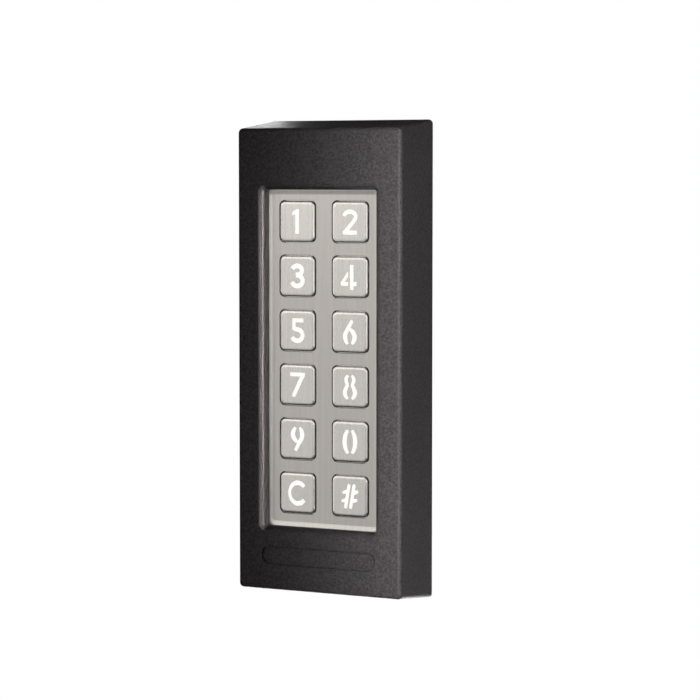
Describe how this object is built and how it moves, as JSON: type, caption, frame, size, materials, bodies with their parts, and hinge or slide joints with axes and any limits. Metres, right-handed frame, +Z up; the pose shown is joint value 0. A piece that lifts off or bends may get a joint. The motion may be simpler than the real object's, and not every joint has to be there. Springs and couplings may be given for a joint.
{
  "type": "access control keypad reader",
  "caption": "Slim surface-mounted access keypad for a gate post: black housing with flared ends, recessed brushed steel plate and two columns of backlit metal keys.",
  "frame": {"origin": "centre of the rear gasket's back face, where the keypad meets the post", "axes": "+X to the right of somebody facing the keys, +Y into the post, +Z up"},
  "size_m": [0.055, 0.0222, 0.1448],
  "materials": {
    "housing_paint": "fine-textured satin black powder coat",
    "plate_steel": "vertically brushed stainless steel",
    "key_steel": "satin metal with bright rolled edges",
    "legend_white": "translucent white, lit from behind",
    "black_rubber": "matte moulded rubber",
    "silicone": "translucent matte silicone",
    "circuit_board": "green solder mask",
    "black_plastic": "fine moulded grain",
    "white_plastic": "smooth moulded",
    "terminal_plastic": "moulded nylon",
    "capacitor_can": "bare drawn can",
    "back_plate_steel": "dull zinc-plated sheet",
    "screw_steel": "bright turned"
  },
  "bodies": {
    "keypad_case": {"front_housing": "housing_paint", "window_seal": "black_rubber", "keypad_plate": "plate_steel", "key_mat": "silicone", "keypad_board": "circuit_board", "board_carrier": "black_plastic", "carrier_screw_1": "screw_steel", "carrier_screw_2": "screw_steel", "carrier_screw_3": "screw_steel", "carrier_screw_4": "screw_steel", "control_board": "circuit_board", "board_screw_1": "screw_steel", "board_screw_2": "screw_steel", "board_screw_3": "screw_steel", "board_screw_4": "screw_steel", "board_header": "black_plastic", "relay_1": "black_plastic", "relay_2": "black_plastic", "terminal_block": "terminal_plastic", "microcontroller": "black_plastic", "supply_capacitor": "capacitor_can", "buzzer": "black_plastic", "tamper_switch": "black_plastic", "back_plate": "back_plate_steel", "rear_gasket": "black_rubber", "cable_grommet": "black_rubber", "security_screw": "screw_steel"},
    "key_1": {"key_cap_1": "key_steel", "light_guide_1": "legend_white"},
    "key_2": {"key_cap_2": "key_steel", "light_guide_2": "legend_white"},
    "key_3": {"key_cap_3": "key_steel", "light_guide_3": "legend_white"},
    "key_4": {"key_cap_4": "key_steel", "light_guide_4": "legend_white"},
    "key_5": {"key_cap_5": "key_steel", "light_guide_5": "legend_white"},
    "key_6": {"key_cap_6": "key_steel", "light_guide_6": "legend_white"},
    "key_7": {"key_cap_7": "key_steel", "light_guide_7": "legend_white"},
    "key_8": {"key_cap_8": "key_steel", "light_guide_8": "legend_white"},
    "key_9": {"key_cap_9": "key_steel", "light_guide_9": "legend_white"},
    "key_0": {"key_cap_0": "key_steel", "light_guide_0": "legend_white"},
    "key_clear": {"key_cap_clear": "key_steel", "light_guide_clear": "legend_white"},
    "key_hash": {"key_cap_hash": "key_steel", "light_guide_hash": "legend_white"},
    "tamper_plunger": {"tamper_plunger": "white_plastic"}
  },
  "joints": [
    {"name": "key_1_press", "type": "slide", "parent": "keypad_case", "child": "key_1", "axis": [0, 1, 0], "range_m": [0, 0.0006], "stiffness_N_per_m": 4000},
    {"name": "key_2_press", "type": "slide", "parent": "keypad_case", "child": "key_2", "axis": [0, 1, 0], "range_m": [0, 0.0006], "stiffness_N_per_m": 4000},
    {"name": "key_3_press", "type": "slide", "parent": "keypad_case", "child": "key_3", "axis": [0, 1, 0], "range_m": [0, 0.0006], "stiffness_N_per_m": 4000},
    {"name": "key_4_press", "type": "slide", "parent": "keypad_case", "child": "key_4", "axis": [0, 1, 0], "range_m": [0, 0.0006], "stiffness_N_per_m": 4000},
    {"name": "key_5_press", "type": "slide", "parent": "keypad_case", "child": "key_5", "axis": [0, 1, 0], "range_m": [0, 0.0006], "stiffness_N_per_m": 4000},
    {"name": "key_6_press", "type": "slide", "parent": "keypad_case", "child": "key_6", "axis": [0, 1, 0], "range_m": [0, 0.0006], "stiffness_N_per_m": 4000},
    {"name": "key_7_press", "type": "slide", "parent": "keypad_case", "child": "key_7", "axis": [0, 1, 0], "range_m": [0, 0.0006], "stiffness_N_per_m": 4000},
    {"name": "key_8_press", "type": "slide", "parent": "keypad_case", "child": "key_8", "axis": [0, 1, 0], "range_m": [0, 0.0006], "stiffness_N_per_m": 4000},
    {"name": "key_9_press", "type": "slide", "parent": "keypad_case", "child": "key_9", "axis": [0, 1, 0], "range_m": [0, 0.0006], "stiffness_N_per_m": 4000},
    {"name": "key_0_press", "type": "slide", "parent": "keypad_case", "child": "key_0", "axis": [0, 1, 0], "range_m": [0, 0.0006], "stiffness_N_per_m": 4000},
    {"name": "key_clear_press", "type": "slide", "parent": "keypad_case", "child": "key_clear", "axis": [0, 1, 0], "range_m": [0, 0.0006], "stiffness_N_per_m": 4000},
    {"name": "key_hash_press", "type": "slide", "parent": "keypad_case", "child": "key_hash", "axis": [0, 1, 0], "range_m": [0, 0.0006], "stiffness_N_per_m": 4000},
    {"name": "tamper_press", "type": "slide", "parent": "keypad_case", "child": "tamper_plunger", "axis": [0, -1, 0], "range_m": [0, 0.0005], "stiffness_N_per_m": 800}
  ]
}
